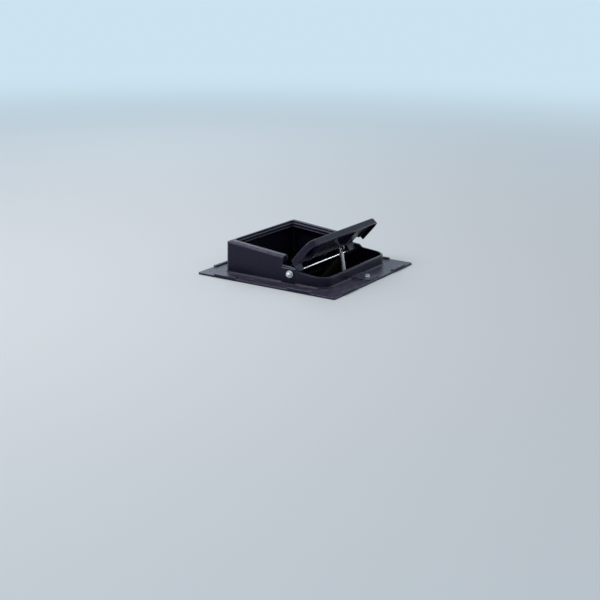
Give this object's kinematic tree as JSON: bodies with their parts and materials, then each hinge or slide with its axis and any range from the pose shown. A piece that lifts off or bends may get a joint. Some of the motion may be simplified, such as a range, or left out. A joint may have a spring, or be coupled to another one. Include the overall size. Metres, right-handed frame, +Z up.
{
  "type": "chimney top damper",
  "caption": "Square chimney-top damper: a cast flange with a sloped housing and low collar, a lipped lid that tips on a cross rod, and a pull eye with a hanging spring.",
  "frame": {"origin": "middle of the flange's underside, the plane that rests on the flue tile", "axes": "+Z up out of the flue, -Y towards the low front collar, X along the rod"},
  "size_m": [0.33, 0.33, 0.1838],
  "materials": {
    "frame_coat": "satin black powder coat with a faint cast grain",
    "lid_coat": "satin black powder coat with a faint cast grain",
    "seat_coat": "satin black powder coat",
    "zinc_screw": "zinc plated",
    "bright_steel": "bright stainless",
    "spacer_steel": "turned stainless",
    "eye_steel": "dulled zinc plate",
    "spring_steel": "grey drawn wire",
    "dull_wire": "dulled wire",
    "gasket_rubber": "matt silicone rubber",
    "bumper_rubber": "matt rubber",
    "bushing_bronze": "sintered bronze"
  },
  "bodies": {
    "frame": {"frame_casting": "frame_coat", "rear_seat": "seat_coat", "seat_screws": "zinc_screw", "left_bumper": "bumper_rubber", "right_bumper": "bumper_rubber", "pad_screw": "bright_steel", "pad_washer": "bright_steel", "keeper_eye": "dull_wire", "pivot_rod": "bright_steel", "rod_cap_nuts": "bright_steel", "rod_washers": "bright_steel", "left_spacer": "spacer_steel", "right_spacer": "spacer_steel"},
    "lid": {"lid_casting": "lid_coat", "front_gasket": "gasket_rubber", "rear_gasket": "gasket_rubber", "left_bushing": "bushing_bronze", "right_bushing": "bushing_bronze", "pull_eye": "eye_steel", "eye_nuts": "eye_steel", "eye_washers": "eye_steel"},
    "spring": {"pull_spring": "spring_steel"}
  },
  "joints": [
    {"name": "lid_pivot", "type": "hinge", "parent": "frame", "child": "lid", "pos_m": [0, -0.041, 0.0255], "axis": [1, 0, 0], "range_deg": [0, 54.8]},
    {"name": "spring_hang", "type": "hinge", "parent": "lid", "child": "spring", "pos_m": [0, -0.08254, 0.05939], "axis": [1, 0, 0], "range_deg": [-54.8, 0]}
  ],
  "couplings": [
    {"joint": "spring_hang", "follows": "lid_pivot", "ratio": -1}
  ]
}
